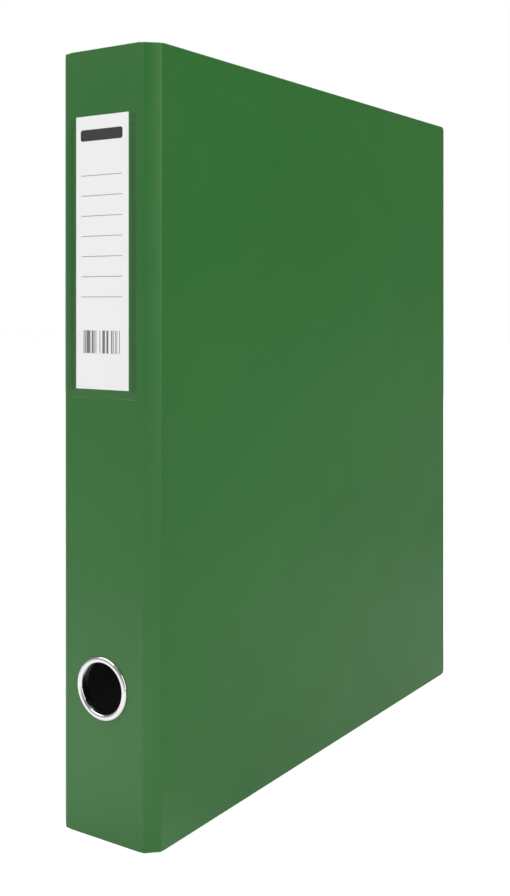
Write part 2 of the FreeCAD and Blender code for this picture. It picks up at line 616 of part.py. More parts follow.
def lever():
    """Pressed lever: two cheeks under a web that widens into an upturned thumb tab."""
    def place(along, above, z=0.0):
        return inside(AXLE_Y - along, AXLE_H + above, z)

    roller = (-ARM_Y, ARM_H)
    body = None
    for low in (-CHEEK_OUTSIDE, CHEEK_INSIDE):
        def on_cheek(a, b):
            return place(a, b, low)
        arm = link((0, 0), CHEEK_EYE, roller, CHEEK_NOSE, on_cheek, Z_AXIS * CHEEK)
        handle_end = (CHEEK_LENGTH, CHEEK_END)
        handle = link((0, 0), CHEEK_EYE, handle_end, CHEEK_END, on_cheek, Z_AXIS * CHEEK)
        cheek = arm.fuse(handle)
        body = cheek if body is None else body.fuse(cheek)

    line_end = 2 * CHEEK_END
    dip_at = (CHEEK_LENGTH + LEVER_LENGTH) / 2
    reach = TAB_HALF
    edges = [
        Part.makeLine(place(0, CHEEK_EYE, -reach), place(CHEEK_LENGTH, line_end, -reach)),
        Part.Arc(place(CHEEK_LENGTH, line_end, -reach), place(dip_at, LEVER_DIP, -reach),
                 place(LEVER_LENGTH, LEVER_TIP_RISE, -reach)).toShape(),
        Part.makeLine(place(LEVER_LENGTH, LEVER_TIP_RISE, -reach),
                      place(LEVER_LENGTH + CHEEK / 3, LEVER_TIP_RISE - CHEEK, -reach)),
        Part.Arc(place(LEVER_LENGTH + CHEEK / 3, LEVER_TIP_RISE - CHEEK, -reach),
                 place(dip_at, LEVER_DIP - CHEEK, -reach),
                 place(CHEEK_LENGTH, line_end - CHEEK, -reach)).toShape(),
        Part.makeLine(place(CHEEK_LENGTH, line_end - CHEEK, -reach),
                      place(0, CHEEK_EYE - CHEEK, -reach)),
        Part.makeLine(place(0, CHEEK_EYE - CHEEK, -reach), place(0, CHEEK_EYE, -reach)),
    ]
    web = Part.Face(Part.Wire(edges)).extrude(Z_AXIS * (2 * reach))
    end = LEVER_LENGTH + CHEEK
    plan = []
    for side in (-1, 1):
        half = [(0, side * CHEEK_OUTSIDE, 0), (TAB_START, side * CHEEK_OUTSIDE, TAB_CORNER),
                (TAB_START + TAB_FLARE, side * TAB_HALF, TAB_CORNER / 2),
                (end, side * TAB_HALF, TAB_CORNER)]
        plan += half if side < 0 else half[::-1]
    floor = -CHEEK_EYE
    plan = outline(plan, lambda s, z: place(s, floor, z)).extrude(X_AXIS * (3 * CHEEK_EYE))
    shape = body.fuse(web.common(plan))
    shape = shape.cut(lengthways(AXLE + RUNNING_FIT, CHEEK_OUTSIDE, AXLE_Y, AXLE_H))
    shape = shape.cut(lengthways(ROLLER_PIN, CHEEK_OUTSIDE, ROLLER_Y, ROLLER_H))
    export(shape.removeSplitter(), "lever")

    export(lengthways(ROLLER_PIN, CHEEK_OUTSIDE, ROLLER_Y, ROLLER_H), "roller_pin")
    roller = lengthways(ROLLER, ROLLER_HALF, ROLLER_Y, ROLLER_H)
    roller = roller.cut(lengthways(ROLLER_PIN + RUNNING_FIT, ROLLER_HALF, ROLLER_Y, ROLLER_H))
    export(roller, "lever_roller")


def compressor_bar():
    """Bar that slides on the posts: turned-up long edges and a crosswise slot round each post."""
    half = BAR_LENGTH / 2
    near, far = POST_LINE - BAR_WIDTH / 2, POST_LINE + BAR_WIDTH / 2
    foot = SHOULDER_TOP + BAR_LIFT
    corners = [(near, -half, BAR_END), (far, -half, BAR_END), (far, half, BAR_END), (near, half, BAR_END)]
    height = BAR_SHEET + BAR_FLANGE
    bar = outline(corners, lambda y, z: inside(y, foot, z)).extrude(X_AXIS * height)
    inner = [(y + (BAR_SHEET if y == near else -BAR_SHEET), z, BAR_END - BAR_SHEET) for y, z, r in corners]
    tray = outline([(y, z + math.copysign(CUT, z), r) for y, z, r in inner],
                   lambda y, z: inside(y, foot + BAR_SHEET, z)).extrude(X_AXIS * height)
    bar = bar.cut(tray)
    for side in (-1, 1):
        z = side * LEG
        w, s = SLOT_WIDTH / 2, SLOT_LENGTH / 2
        slot = [(POST_LINE - s, z - w, SLOT_CORNER), (POST_LINE + s, z - w, SLOT_CORNER),
                (POST_LINE + s, z + w, SLOT_CORNER), (POST_LINE - s, z + w, SLOT_CORNER)]
        bar = bar.cut(outline(slot, lambda y, zz: inside(y, foot, zz)).extrude(X_AXIS * BAR_SHEET))
    export(bar, "compressor_bar")


def main():
    os.makedirs("parts", exist_ok=True)
    case()
    finger_ring()
    label_and_pocket()
    base_plate()
    mechanism_rivets()
    posts()
    lever_bracket()
    arch_springs()
    arch_wire()
    lever()
    compressor_bar()


main()
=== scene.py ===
"""Looks of a narrow A4 lever arch file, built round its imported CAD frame, in metres.

Z is up. The front cover faces +X, the back cover faces -X and the spine faces -Y.
"""

import json
import math

import bmesh
import bpy
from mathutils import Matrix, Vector

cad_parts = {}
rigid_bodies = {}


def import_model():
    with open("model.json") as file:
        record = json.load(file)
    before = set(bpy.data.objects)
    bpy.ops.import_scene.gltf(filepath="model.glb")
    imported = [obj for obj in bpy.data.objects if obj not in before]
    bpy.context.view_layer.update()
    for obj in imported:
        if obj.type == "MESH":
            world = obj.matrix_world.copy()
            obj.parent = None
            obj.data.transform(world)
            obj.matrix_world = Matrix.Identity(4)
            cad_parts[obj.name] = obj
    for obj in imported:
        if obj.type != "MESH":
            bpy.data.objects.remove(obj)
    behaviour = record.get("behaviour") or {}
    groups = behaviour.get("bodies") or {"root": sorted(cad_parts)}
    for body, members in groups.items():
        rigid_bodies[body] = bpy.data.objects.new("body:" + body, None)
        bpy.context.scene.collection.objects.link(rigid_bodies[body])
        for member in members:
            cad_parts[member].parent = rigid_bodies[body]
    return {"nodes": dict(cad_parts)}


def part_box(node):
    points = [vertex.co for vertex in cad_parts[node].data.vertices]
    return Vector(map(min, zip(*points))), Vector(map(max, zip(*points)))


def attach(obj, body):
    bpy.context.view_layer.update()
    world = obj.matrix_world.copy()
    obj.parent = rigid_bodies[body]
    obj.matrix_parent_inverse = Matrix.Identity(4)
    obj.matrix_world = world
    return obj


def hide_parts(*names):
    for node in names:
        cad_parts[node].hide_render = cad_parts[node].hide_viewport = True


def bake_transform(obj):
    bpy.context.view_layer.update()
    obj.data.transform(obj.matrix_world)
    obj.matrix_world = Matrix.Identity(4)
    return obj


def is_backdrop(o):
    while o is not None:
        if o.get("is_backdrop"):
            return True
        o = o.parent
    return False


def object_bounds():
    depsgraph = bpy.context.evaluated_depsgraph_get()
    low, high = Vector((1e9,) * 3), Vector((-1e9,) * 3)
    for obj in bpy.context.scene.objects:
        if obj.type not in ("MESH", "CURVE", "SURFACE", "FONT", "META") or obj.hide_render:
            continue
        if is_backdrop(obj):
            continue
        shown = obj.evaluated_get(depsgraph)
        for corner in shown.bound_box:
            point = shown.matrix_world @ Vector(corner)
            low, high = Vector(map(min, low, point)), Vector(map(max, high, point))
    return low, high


for leftover in list(bpy.data.objects):
    bpy.data.objects.remove(leftover)
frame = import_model()
cad_low, cad_high = (list(corner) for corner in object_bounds())

bl_info = {
    "name": "Lever arch file",
    "version": (1, 0, 0),
    "blender": (4, 5, 0),
    "location": "View3D > Sidebar > Lever arch file",
    "description": "Dresses the CAD frame of a lever arch file and sets its stage",
    "category": "Object",
}

MM = 0.001
HAIR = 1e-6                                 # tolerance for finding a vertex by its place

# ---------------------------------------------------------------- places, from the frame
spine_low, spine_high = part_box("spine_wrap")
cover_low, cover_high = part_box("front_wrap")
label_low, label_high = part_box("spine_label")
pocket_low, pocket_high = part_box("spine_pocket")
ring_low, ring_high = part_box("finger_ring")
HEIGHT = cad_high[2]
SPINE_FACE = spine_low.y
SPINE_HALF = spine_high.x
COVER_FACE = cover_high.x
STRIP_END = cover_low.y                     # where a hinge strip meets its cover
LINING_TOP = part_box("spine_lining")[1].y - SPINE_FACE        # the lining's face over turned-in foil
STRIP_WIDTH = math.hypot(COVER_FACE - SPINE_HALF, STRIP_END - SPINE_FACE)


# ---------------------------------------------------------------- sizes and colours
def length(name, description, millimetres):
    return bpy.props.FloatProperty(name=name, description=description, default=millimetres * MM,
                                   subtype="DISTANCE", unit="LENGTH", precision=5)


def colour(name, description, default):
    return bpy.props.FloatVectorProperty(name=name, description=description, default=default,
                                         size=3, min=0, max=1, subtype="COLOR")


class FileSizes(bpy.types.PropertyGroup):
    foil: length("Foil", "Thickness of the plastic foil", 0.3)
    fold_radius: length("Fold radius", "Radius of the foil's outer face round a crease", 0.6)
    fold_reach: length("Fold reach", "How far a crease's foil runs on over its panel", 2.6)
    fold_proud: length("Fold proud", "Height of the creased foil over the panel", 0.035)
    strip_short: length("Strip shortfall", "How far a hinge strip ends below the panels", 0.35)
    paper: length("Lining paper", "Thickness of the lining paper over a crease", 0.12)
    lining_margin: length("Lining margin", "How far the lining stops inside the ends", 3.0)
    ring_bore: length("Ring bore", "Radius of the finger ring's bore", 10.25)
    rib_pitch: length("Rib pitch", "Distance between the ribs of the pocket's welds", 1.07)
    rib_height: length("Rib height", "Height of the ribs of the pocket's welds", 0.05)
    ruling_pitch: length("Ruling pitch", "Distance between the label's ruled lines", 8.17)


class FileColours(bpy.types.PropertyGroup):
    foil: colour("Foil", "Green of the plastic foil", (0.018, 0.128, 0.018))
    foil_deep: colour("Deeper foil", "Green of the foil's darker clouds", (0.016, 0.120, 0.016))
    pressed: colour("Pressed weld", "Whitened film of the pocket's lower welds", (0.05, 0.16, 0.05))
    # near-black lining, which is also what shows dark through the finger ring's bore
    lining: colour("Lining", "Dark paper inside the case", (0.021, 0.021, 0.023))
    board: colour("Greyboard", "Board inside the covers", (0.30, 0.28, 0.25))
    label: colour("Label", "White card of the spine label", (0.83, 0.83, 0.83))
    ink: colour("Ink", "Print on the label", (0.025, 0.026, 0.028))
    film: colour("Film haze", "Haze of the pocket's clear film", (0.36, 0.44, 0.37))
    film_dim: colour("Dimmer film haze", "Where the film's haze is weaker", (0.30, 0.38, 0.31))
    steel: colour("Nickel steel", "Nickel-plated steel of the mechanism", (0.60, 0.59, 0.565))
    spring: colour("Spring steel", "Darker steel of the arch springs", (0.36, 0.36, 0.37))
    zinc: colour("Zinc", "Zinc plating of the finger ring's washer", (0.5, 0.5, 0.51))
    # painted shade: near-black for the shade down the finger ring's throat
    throat: colour("Ring throat", "Dull inside of the finger ring", (0.03, 0.03, 0.03))
    chrome: colour("Chrome", "Chrome plating of the finger ring", (0.56, 0.56, 0.57))
    roller: colour("Roller", "White nylon of the lever's roller", (0.74, 0.74, 0.71))
    floor: colour("Floor", "Pale studio floor", (0.86, 0.86, 0.86))


def sizes():
    return bpy.context.scene.file_sizes


def colours():
    return bpy.context.scene.file_colours


# ---------------------------------------------------------------- working by hand, in code
def deselect_all():
    if bpy.context.object and bpy.context.object.mode != "OBJECT":
        bpy.ops.object.mode_set(mode="OBJECT")
    bpy.ops.object.select_all(action="DESELECT")


def activate(piece):
    deselect_all()
    piece.select_set(True)
    bpy.context.view_layer.objects.active = piece


def start(name, add, **settings):
    """Adds a primitive, names it and leaves it in edit mode, selected all over."""
    deselect_all()
    add(**settings)
    piece = bpy.context.object
    piece.name = name
    piece.data.name = name
    bpy.ops.object.mode_set(mode="EDIT")
    return piece


def select_verts(piece, wanted):
    mesh = bmesh.from_edit_mesh(piece.data)
    bpy.ops.mesh.select_all(action="DESELECT")
    for vert in mesh.verts:
        vert.select = bool(wanted(vert))
    mesh.select_flush_mode()
    bmesh.update_edit_mesh(piece.data)


def rotate_selected(angle, pivot):
    """Turns the selection to the left about Z. With no window the operator turns the other way."""
    bpy.ops.transform.rotate(value=-angle, orient_axis="Z", orient_type="GLOBAL",
                             center_override=pivot)


def finished(piece, body, finish, smooth):
    """Applies the piece's place, shades it, gives it its finish and lets it ride on its body."""
    if piece.mode == "EDIT":
        bpy.ops.object.mode_set(mode="OBJECT")
    activate(piece)
    bpy.ops.object.transform_apply(location=True, rotation=True, scale=True)
    bpy.ops.object.shade_smooth_by_angle(angle=math.radians(smooth))
    piece.data.materials.clear()
    piece.data.materials.append(finish)
    if body:
        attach(piece, body)


def lathe(name, profile, place, turn, vertices):
    """Turned piece: a circle extruded and resized along a closed profile of (radius, height)."""
    radius, along = profile[0]
    piece = start(name, bpy.ops.mesh.primitive_circle_add, vertices=vertices, radius=radius,
                  fill_type="NOTHING", location=(0, 0, along))
    for following, step in profile[1:]:
        bpy.ops.mesh.extrude_region_move(TRANSFORM_OT_translate={"value": (0, 0, step - along)})
        scale = following / radius
        bpy.ops.transform.resize(value=(scale, scale, 1), center_override=(0, 0, step))
        radius, along = following, step
    bpy.ops.mesh.select_all(action="SELECT")
    bpy.ops.mesh.remove_doubles(threshold=1e-7)
    bpy.ops.mesh.normals_make_consistent(inside=False)
    bpy.ops.object.mode_set(mode="OBJECT")
    piece.location = place
    piece.rotation_euler = turn
    return piece


# ---------------------------------------------------------------- finishes
class Finish:
    """A material whose nodes are added and joined one at a time."""

    def __init__(self, name, roughness, **constants):
        self.material = bpy.data.materials.new(name)
        self.material.use_nodes = True
        self.tree = self.material.node_tree
        self.shader = next(n for n in self.tree.nodes if n.type == "BSDF_PRINCIPLED")
        self.shader.inputs["Roughness"].default_value = roughness
        for socket, value in constants.items():
            self.shader.inputs[socket.replace("_", " ")].default_value = value
        self.place = self.node("ShaderNodeTexCoord").outputs["Object"]

    def node(self, kind, inputs=None, **settings):
        made = self.tree.nodes.new(kind)
        for name, value in settings.items():
            setattr(made, name, value)
        for socket, value in (inputs or {}).items():
            if isinstance(value, bpy.types.NodeSocket):
                self.tree.links.new(value, made.inputs[socket])
            else:
                made.inputs[socket].default_value = value
        return made

    def stretched(self, scale):
        return self.node("ShaderNodeMapping", {"Vector": self.place, "Scale": scale}).outputs[0]

    def noise(self, scale, detail=3.0, rough=0.5, where=None):
        inputs = {"Vector": where or self.place, "Scale": scale, "Detail": detail,
                  "Roughness": rough}
        return self.node("ShaderNodeTexNoise", inputs).outputs["Fac"]

    def remap(self, value, low, high, to_low, to_high):
        inputs = {0: value, 1: low, 2: high, 3: to_low, 4: to_high}
        return self.node("ShaderNodeMapRange", inputs).outputs[0]

    def maths(self, operation, a, b=0.0):
        return self.node("ShaderNodeMath", {0: a, 1: b}, operation=operation).outputs[0]

    def mix(self, factor, first, second):
        made = self.node("ShaderNodeMix", data_type="RGBA")
        for socket, value in ((0, factor), (6, first), (7, second)):
            if isinstance(value, bpy.types.NodeSocket):
                self.tree.links.new(value, made.inputs[socket])
            else:
                made.inputs[socket].default_value = value if socket == 0 else (*value, 1)
        return made.outputs[2]

    def wire(self, socket, value):
        self.tree.links.new(value, self.shader.inputs[socket])

    def bump(self, *layers):
        """Layers of (height, distance in metres), one over the other."""
        normal = None
        for height, distance in layers:
            inputs = {"Height": height, "Distance": distance, "Strength": 1.0}
            if normal is not None:
                inputs["Normal"] = normal
            normal = self.node("ShaderNodeBump", inputs).outputs[0]
        self.wire("Normal", normal)


def green_foil():
    """Semi-gloss embossed plastic foil, with faint clouds, a fine grain and rubbed patches."""
    tint = colours()
    made = Finish("green_foil_finish", 0.36, Specular_IOR_Level=0.42)
    clouds = made.remap(made.noise(9, 4, 0.55), 0.35, 0.65, 0, 1)
    made.wire("Base Color", made.mix(clouds, tuple(tint.foil), tuple(tint.foil_deep)))
    rubbed = made.noise(38, 5, 0.6)
    made.wire("Roughness", made.remap(rubbed, 0.3, 0.7, 0.30, 0.38))
    grain = made.noise(2300, 2, 0.6)
    waves = made.noise(14, 2, 0.4)
    made.bump((waves, 0.00022), (grain, 0.000012))
    return made.material


def lining_paper():
    tint = colours()
    made = Finish("lining_paper_finish", 0.72, Specular_IOR_Level=0.3)
    fibre = made.noise(900, 5, 0.7, made.stretched((1, 1, 0.35)))
    made.wire("Base Color", made.mix(made.remap(fibre, 0.3, 0.7, 0, 1), tuple(tint.lining),
                                     tuple(c * 1.5 for c in tint.lining)))
    made.wire("Roughness", made.remap(made.noise(60, 3), 0.3, 0.7, 0.66, 0.8))
    made.bump((fibre, 0.00002))
    return made.material


def greyboard():
    tint = colours()
    made = Finish("greyboard_finish", 0.9, Specular_IOR_Level=0.2)
    fleck = made.noise(1400, 4, 0.7)
    made.wire("Base Color", made.mix(made.remap(fleck, 0.35, 0.65, 0, 1), tuple(tint.board),
                                     tuple(c * 0.75 for c in tint.board)))
    made.bump((fleck, 0.00004))
    return made.material


def metal(name, tint, smooth, rough, brushed, depth):
    """Plated metal: colour varies a little, its roughness in clouds, with fine drawn lines."""
    made = Finish(name, smooth, Metallic=1.0)
    clouds = made.noise(120, 4, 0.6)
    made.wire("Base Color", made.mix(made.remap(clouds, 0.3, 0.7, 0, 1), tuple(tint),
                                     tuple(c * 0.9 for c in tint)))
    made.wire("Roughness", made.remap(clouds, 0.3, 0.7, smooth, rough))
    made.bump((made.noise(1500, 2, 0.6, made.stretched(brushed)), depth))
    return made.material


def roller_nylon():
    tint = colours()
    made = Finish("roller_nylon_finish", 0.42, Subsurface_Weight=0.12)
    made.shader.inputs["Subsurface Radius"].default_value = (0.002, 0.002, 0.0015)
    made.shader.inputs["Subsurface Scale"].default_value = 1.0
    cloud = made.noise(300, 3)
    made.wire("Base Color", made.mix(made.remap(cloud, 0.3, 0.7, 0, 1), tuple(tint.roller),
                                     tuple(c * 0.93 for c in tint.roller)))
    made.wire("Roughness", made.remap(cloud, 0.3, 0.7, 0.38, 0.48))
    made.bump((made.noise(2500, 2), 0.000008))
    return made.material


def clear_film():
    """Clear film: the little that it hides is a haze, and its gloss lies over what is behind."""
    tint = colours()
    made = Finish("clear_film_finish", 0.16, Alpha=0.014, Specular_IOR_Level=0.5)
    haze = made.noise(70, 4, 0.6)
    made.wire("Base Color", made.mix(made.remap(haze, 0.3, 0.7, 0, 1), tuple(tint.film),
                                     tuple(tint.film_dim)))
    made.wire("Roughness", made.remap(haze, 0.3, 0.7, 0.13, 0.24))
    made.bump((made.noise(35, 2, 0.4), 0.0002))
    made.material.surface_render_method = "BLENDED"
    return made.material


def weld_film(name, tint):
    """Film melted into the foil by the welding tool, uneven, in the tint given; the ribbed side welds
    get the foil's green darkened as painted shade.
    """
    made = Finish(name, 0.34, Specular_IOR_Level=0.42)
    uneven = made.noise(600, 3, 0.6)
    made.wire("Base Color", made.mix(made.remap(uneven, 0.35, 0.65, 0, 1),
                                     tuple(c * 0.9 for c in tint), tint))
    made.wire("Roughness", made.remap(uneven, 0.3, 0.7, 0.3, 0.4))
    made.bump((uneven, 0.000006))
    return made.material


def ring_chrome():
    """Chrome, dulled down the ring's throat and darkened there with painted shade."""
    tint = colours()
    made = Finish("ring_chrome_finish", 0.1, Metallic=1.0)
    centre = (ring_low + ring_high) / 2
    split = made.node("ShaderNodeSeparateXYZ", {"Vector": made.place})
    across = made.maths("SUBTRACT", split.outputs[0], centre.x)
    up = made.maths("SUBTRACT", split.outputs[2], centre.z)
    radius = made.maths("SQRT", made.maths("ADD", made.maths("MULTIPLY", across, across),
                                           made.maths("MULTIPLY", up, up)))
    bore = sizes().ring_bore
    inside = made.remap(radius, bore + 0.2 * MM, bore + 0.3 * MM, 1, 0)
    deep = made.remap(split.outputs[1], SPINE_FACE - 0.2 * MM, SPINE_FACE + 0.9 * MM, 0, 1)
    # mask of the throat, where painted shade turns the plating near-black
    throat = made.maths("MULTIPLY", inside, deep)
    clouds = made.remap(made.noise(120, 4, 0.6), 0.3, 0.7, 0, 1)
    plating = made.mix(clouds, tuple(tint.chrome), tuple(c * 0.93 for c in tint.chrome))
    made.wire("Base Color", made.mix(throat, plating, tuple(tint.throat)))
    made.wire("Roughness", made.maths("ADD", made.remap(clouds, 0, 1, 0.07, 0.13),
                                      made.maths("MULTIPLY", throat, 0.4)))
    made.bump((made.noise(1500, 2, 0.6), 0.000002))
    return made.material


# Places on the label: across from the spine's left edge, up from the floor; widths are halved.
RULING = {"middle": 19.1 * MM, "half": 10.65 * MM, "half_line": 0.14 * MM, "lowest": 218.0 * MM,
          "count": 7}
HEADING = {"middle": 18.95 * MM, "half": 10.95 * MM, "height": 283.3 * MM, "half_tall": 2.3 * MM,
           "corner": 1.1 * MM}
BARS = {"middle": 19.25 * MM, "half": 9.8 * MM, "height": 199.9 * MM, "half_tall": 4.6 * MM,
        "first": 9.3 * MM, "width": 0.35 * MM}


def label_card():
    """White card with a dark heading bar, seven ruled lines and a block of upright bars."""
    tint = colours()
    made = Finish("label_card_finish", 0.62, Specular_IOR_Level=0.3)
    split = made.node("ShaderNodeSeparateXYZ", {"Vector": made.place})
    x, z = split.outputs[0], split.outputs[2]

    def box(value, middle, half, edge=0.04 * MM):
        """One inside middle +- half, with a slightly soft edge."""
        away = made.maths("ABSOLUTE", made.maths("SUBTRACT", value, middle))
        return made.remap(away, half - edge, half + edge, 1, 0)

    def both(first, *parts):
        for part in parts:
            first = made.maths("MULTIPLY", first, part)
        return first

    def past(value, middle, half):
        """How far value lies outside middle +- half, or zero."""
        away = made.maths("ABSOLUTE", made.maths("SUBTRACT", value, middle))
        return made.maths("MAXIMUM", made.maths("SUBTRACT", away, half), 0.0)

    left = -SPINE_HALF
    pitch = sizes().ruling_pitch
    above = made.maths("SUBTRACT", z, RULING["lowest"])
    nearest = made.maths("MULTIPLY", made.maths("ROUND", made.maths("DIVIDE", above, pitch)), pitch)
    rows = both(box(made.maths("SUBTRACT", above, nearest), 0.0, RULING["half_line"]),
                box(x, left + RULING["middle"], RULING["half"]),
                box(z, RULING["lowest"] + pitch * (RULING["count"] - 1) / 2,
                    pitch * RULING["count"] / 2))

    corner = HEADING["corner"]
    bar_x = past(x, left + HEADING["middle"], HEADING["half"] - corner)
    bar_z = past(z, HEADING["height"], HEADING["half_tall"] - corner)
    reach = made.maths("SQRT", made.maths("ADD", made.maths("MULTIPLY", bar_x, bar_x),
                                          made.maths("MULTIPLY", bar_z, bar_z)))
    heading = made.remap(reach, corner - 0.05 * MM, corner + 0.05 * MM, 1, 0)

    # block of upright bars of chance widths
    cell = made.maths("FLOOR", made.maths("DIVIDE", made.maths("SUBTRACT", x, left + BARS["first"]),
                                          BARS["width"]))
    chance = made.node("ShaderNodeTexWhiteNoise", {"W": cell}, noise_dimensions="1D")
    bars = both(made.maths("GREATER_THAN", chance.outputs["Value"], 0.47),
                box(x, left + BARS["middle"], BARS["half"]),
                box(z, BARS["height"], BARS["half_tall"]))

    fibre = made.noise(700, 4, 0.7)
    paper = made.mix(made.remap(fibre, 0.3, 0.7, 0, 1), tuple(tint.label),
                     tuple(c * 0.965 for c in tint.label))
    ruled = made.mix(made.maths("MULTIPLY", rows, 0.75), paper, tuple(tint.ink))
    printed = made.mix(made.maths("MULTIPLY", bars, 0.82), ruled, tuple(tint.ink))
    made.wire("Base Color", made.mix(heading, printed, tuple(tint.ink)))
    made.wire("Roughness", made.remap(heading, 0, 1, 0.62, 0.4))
    made.bump((fibre, 0.000015))
    return made.material


# ---------------------------------------------------------------- stage
class Pale:
    """Node tree of a floor or world whose strength depends on the kind of ray that meets it."""

    def __init__(self, tree):
        self.tree = tree
        tree.nodes.clear()
        self.path = tree.nodes.new("ShaderNodeLightPath")
        self.place = tree.nodes.new("ShaderNodeTexCoord")

    def maths(self, operation, *values):
        made = self.tree.nodes.new("ShaderNodeMath")
        made.operation = operation
        for i, value in enumerate(values):
            self.plug(value, made.inputs[i])
        return made.outputs[0]

    def plug(self, value, socket):
        if isinstance(value, bpy.types.NodeSocket):
            self.tree.links.new(value, socket)
        else:
            socket.default_value = value

    def ramp(self, value, low, high, to_low, to_high):
        made = self.tree.nodes.new("ShaderNodeMapRange")
        made.interpolation_type = "SMOOTHSTEP"
        for i, given in enumerate((value, low, high, to_low, to_high)):
            self.plug(given, made.inputs[i])
        return made.outputs[0]

    def towards(self, vector, direction):
        made = self.tree.nodes.new("ShaderNodeVectorMath")
        made.operation = "DOT_PRODUCT"
        self.plug(vector, made.inputs[0])
        made.inputs[1].default_value = direction
        return made.outputs["Value"]

    def distance(self, vector):
        made = self.tree.nodes.new("ShaderNodeVectorMath")
        made.operation = "LENGTH"
        self.plug(vector, made.inputs[0])
        return made.outputs["Value"]

    def through(self, strength):
        """Strength for what is seen directly or through film, and none for the light."""
        seen = self.maths("MAXIMUM", self.path.outputs["Is Camera Ray"],
                          self.path.outputs["Is Transmission Ray"])
        return self.maths("MULTIPLY", seen, strength)


KEY_SIDE = (-0.64, -0.77, 0.0)              # towards the key lamp
FRONT_SIDE = (-0.30, -0.95, 0.0)            # the floor before the spine
FLOOR_LIFT = 0.70                           # brings the lit floor to white where it is seen
FLOOR_GLOSS = {                             # the floor's strength in gloss
    "near": (0.30, 0.56),                   # metres from the file over which the close part ends
    "side": (0.05, 0.22),                   # metres towards the front over which it gets brighter
    "far": (0.60, 0.42),                    # what the front adds, and the level behind
    "close": (0.45, 0.20),                  # the same for the close part
}
WORLD_LIGHT = (0.15, 0.33)                  # towards the key lamp's side, and all round
LAMPS = (                                   # name, place, width, height, watts
    ("key_lamp", (-0.8, -1.4, 1.8), 1.8, 1.8, 32.5),
    ("fill_lamp", (2.1, -0.05, 0.7), 2.4, 2.0, 39.5),
    ("top_lamp", (0.1, 0.3, 1.9), 2.0, 2.0, 10.0),
    ("back_lamp", (-0.9, 1.6, 1.1), 1.8, 1.8, 12.0),
)
CAMERA_PLACE = (0.30362, -0.49821, 0.21526)
CAMERA_TURN = 0.6058                        # radians to the left from looking along +Y
CAMERA_LENS = 47.008
CAMERA_SHIFT = (0.0446, -0.16104)


def floor_finish():
    """Lit by the lamps, lifted to white where it is seen, and in gloss brightest near the file."""
    material = bpy.data.materials.new("floor_finish")
    material.use_nodes = True
    pale = Pale(material.node_tree)
    tree = pale.tree
    spot = pale.place.outputs["Object"]
    near = pale.ramp(pale.distance(spot), *FLOOR_GLOSS["near"], 1.0, 0.0)
    side = pale.ramp(pale.towards(spot, FRONT_SIDE), *FLOOR_GLOSS["side"], 0.0, 1.0)

    def by_side(slope, level):
        return pale.maths("ADD", pale.maths("MULTIPLY", side, slope), level)

    gloss = pale.maths("ADD", by_side(*FLOOR_GLOSS["far"]),
                       pale.maths("MULTIPLY", near, by_side(*FLOOR_GLOSS["close"])))
    diffuse = tree.nodes.new("ShaderNodeBsdfDiffuse")
    diffuse.inputs["Color"].default_value = (*colours().floor, 1)
    lift = tree.nodes.new("ShaderNodeEmission")
    mirrored = tree.nodes.new("ShaderNodeEmission")
    add = tree.nodes.new("ShaderNodeAddShader")
    either = tree.nodes.new("ShaderNodeMixShader")
    output = tree.nodes.new("ShaderNodeOutputMaterial")
    tree.links.new(pale.through(FLOOR_LIFT), lift.inputs["Strength"])
    tree.links.new(gloss, mirrored.inputs["Strength"])
    tree.links.new(diffuse.outputs[0], add.inputs[0])
    tree.links.new(lift.outputs[0], add.inputs[1])
    tree.links.new(pale.path.outputs["Is Glossy Ray"], either.inputs[0])
    tree.links.new(add.outputs[0], either.inputs[1])
    tree.links.new(mirrored.outputs[0], either.inputs[2])
    tree.links.new(either.outputs[0], output.inputs["Surface"])
    return material


def studio_world():
    """White where it is seen, and for the light brighter on the key lamp's side."""
    world = bpy.data.worlds.new("studio")
    world.use_nodes = True
    pale = Pale(world.node_tree)
    tree = pale.tree
    facing = pale.towards(pale.place.outputs["Generated"], KEY_SIDE)
    light = pale.maths("ADD", pale.maths("MULTIPLY", facing, WORLD_LIGHT[0]), WORLD_LIGHT[1])
    background = tree.nodes.new("ShaderNodeBackground")
    background.inputs["Color"].default_value = (1, 1, 1, 1)
    output = tree.nodes.new("ShaderNodeOutputWorld")
    tree.links.new(pale.maths("MAXIMUM", light, pale.through(1.0)), background.inputs["Strength"])
    tree.links.new(background.outputs[0], output.inputs["Surface"])
    return world


class FILE_OT_stage(bpy.types.Operator):
    """Pale floor, soft lamps, pale world and the camera"""
    bl_idname = "lever_file.stage"
    bl_label = "Stage"

    def execute(self, context):
        scene = context.scene
        deselect_all()
        bpy.ops.mesh.primitive_plane_add(size=12, location=(0, 0, -0.2 * MM))
        floor = context.object
        floor.name = "floor"
        floor.data.materials.append(floor_finish())
        floor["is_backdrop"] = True
        scene.world = studio_world()

        middle = Vector((0, 0, HEIGHT / 2))
        for name, place, width, tall, power in LAMPS:
            bpy.ops.object.light_add(type="AREA", location=place)
            lamp = context.object
            lamp.name = name
            lamp.data.shape = "RECTANGLE"
            lamp.data.size = width
            lamp.data.size_y = tall
            lamp.data.energy = power
            lamp.rotation_euler = (Vector(place) - middle).to_track_quat("Z", "Y").to_euler()

        bpy.ops.object.camera_add(location=CAMERA_PLACE,
                                  rotation=(math.radians(90), 0, CAMERA_TURN))
        camera = context.object
        camera.name = "camera"
        camera.data.lens = CAMERA_LENS
        camera.data.sensor_width = 36.0
        camera.data.shift_x, camera.data.shift_y = CAMERA_SHIFT
        camera.data.clip_start = 0.01
        scene.camera = camera
        scene.view_settings.view_transform = "Standard"
        return {"FINISHED"}


